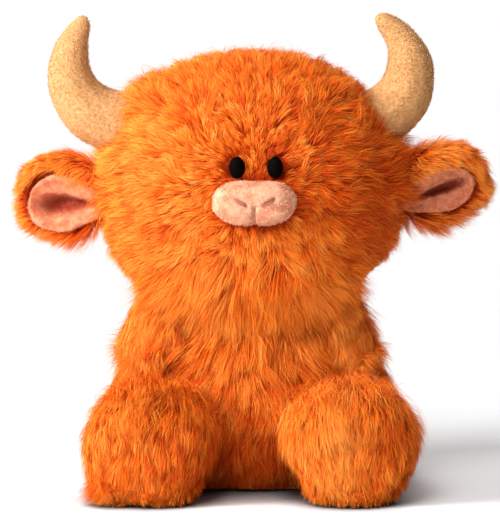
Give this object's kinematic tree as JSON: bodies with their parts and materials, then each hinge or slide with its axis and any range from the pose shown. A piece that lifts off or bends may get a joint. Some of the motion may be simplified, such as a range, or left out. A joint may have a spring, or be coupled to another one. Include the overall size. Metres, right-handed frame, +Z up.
{
  "type": "plush cow",
  "caption": "Seated stuffed toy cow with long fur, curled plush horns, lined ears, padded muzzle, domed eyes and soft limbs that flop at their seams",
  "frame": {"origin": "On the floor under the toy, in the middle of its box", "axes": "+X to the right of someone who looks at the face, +Y towards the toy's back, +Z up; the toy faces -Y"},
  "size_m": [0.2817, 0.1939, 0.2841],
  "materials": {
    "long_fur": "long combed polyester pile, bright orange, paler at the tips and deep rust in the folds",
    "horn_plush": "short-pile cream tan plush, matt, with soft shading where the pile lies over",
    "skin_plush": "short-pile pale pink plush, matt",
    "nostril_thread": "dusky pink satin-stitched thread, low sheen",
    "eye_plastic": "smooth black plastic, satin",
    "washer_plastic": "natural white moulded plastic",
    "seat_cloth": "short-pile rust orange knitted backing",
    "bag_cloth": "plain undyed woven cloth"
  },
  "bodies": {
    "root": {"body": "long_fur", "head": "long_fur", "left_horn": "horn_plush", "right_horn": "horn_plush", "muzzle": "skin_plush", "left_nostril": "nostril_thread", "right_nostril": "nostril_thread", "left_eye": "eye_plastic", "right_eye": "eye_plastic", "left_eye_washer": "washer_plastic", "right_eye_washer": "washer_plastic", "seat_panel": "seat_cloth", "pellet_bag": "bag_cloth"},
    "left_ear": {"left_ear": "long_fur", "left_ear_lining": "skin_plush"},
    "right_ear": {"right_ear": "long_fur", "right_ear_lining": "skin_plush"},
    "left_arm": {"left_arm": "long_fur"},
    "right_arm": {"right_arm": "long_fur"},
    "left_leg": {"left_leg": "long_fur"},
    "right_leg": {"right_leg": "long_fur"},
    "tail": {"tail": "long_fur", "tail_tuft": "long_fur"}
  },
  "joints": [
    {"name": "left_ear_flap", "type": "hinge", "parent": "root", "child": "left_ear", "pos_m": [-0.08797, 0.0015, 0.1735], "axis": [0, 1, 0], "range_deg": [-20, 20], "stiffness_Nm_per_rad": 0.02},
    {"name": "right_ear_flap", "type": "hinge", "parent": "root", "child": "right_ear", "pos_m": [0.08798, 0.0015, 0.1725], "axis": [0, 1, 0], "range_deg": [-20, 20], "stiffness_Nm_per_rad": 0.02},
    {"name": "left_arm_swing", "type": "hinge", "parent": "root", "child": "left_arm", "pos_m": [-0.048, -0.0105, 0.1045], "axis": [1, 0, 0], "range_deg": [-40, 12], "stiffness_Nm_per_rad": 0.02},
    {"name": "right_arm_swing", "type": "hinge", "parent": "root", "child": "right_arm", "pos_m": [0.045, -0.0105, 0.1045], "axis": [1, 0, 0], "range_deg": [-40, 12], "stiffness_Nm_per_rad": 0.02},
    {"name": "left_leg_splay", "type": "hinge", "parent": "root", "child": "left_leg", "pos_m": [-0.056, -0.0205, 0.0325], "axis": [0, 0, 1], "range_deg": [-16, 8], "stiffness_Nm_per_rad": 0.05},
    {"name": "right_leg_splay", "type": "hinge", "parent": "root", "child": "right_leg", "pos_m": [0.0555, -0.0205, 0.0325], "axis": [0, 0, 1], "range_deg": [-8, 16], "stiffness_Nm_per_rad": 0.05},
    {"name": "tail_lift", "type": "hinge", "parent": "root", "child": "tail", "pos_m": [0, 0.06835, 0.056], "axis": [1, 0, 0], "range_deg": [0, 60]}
  ]
}
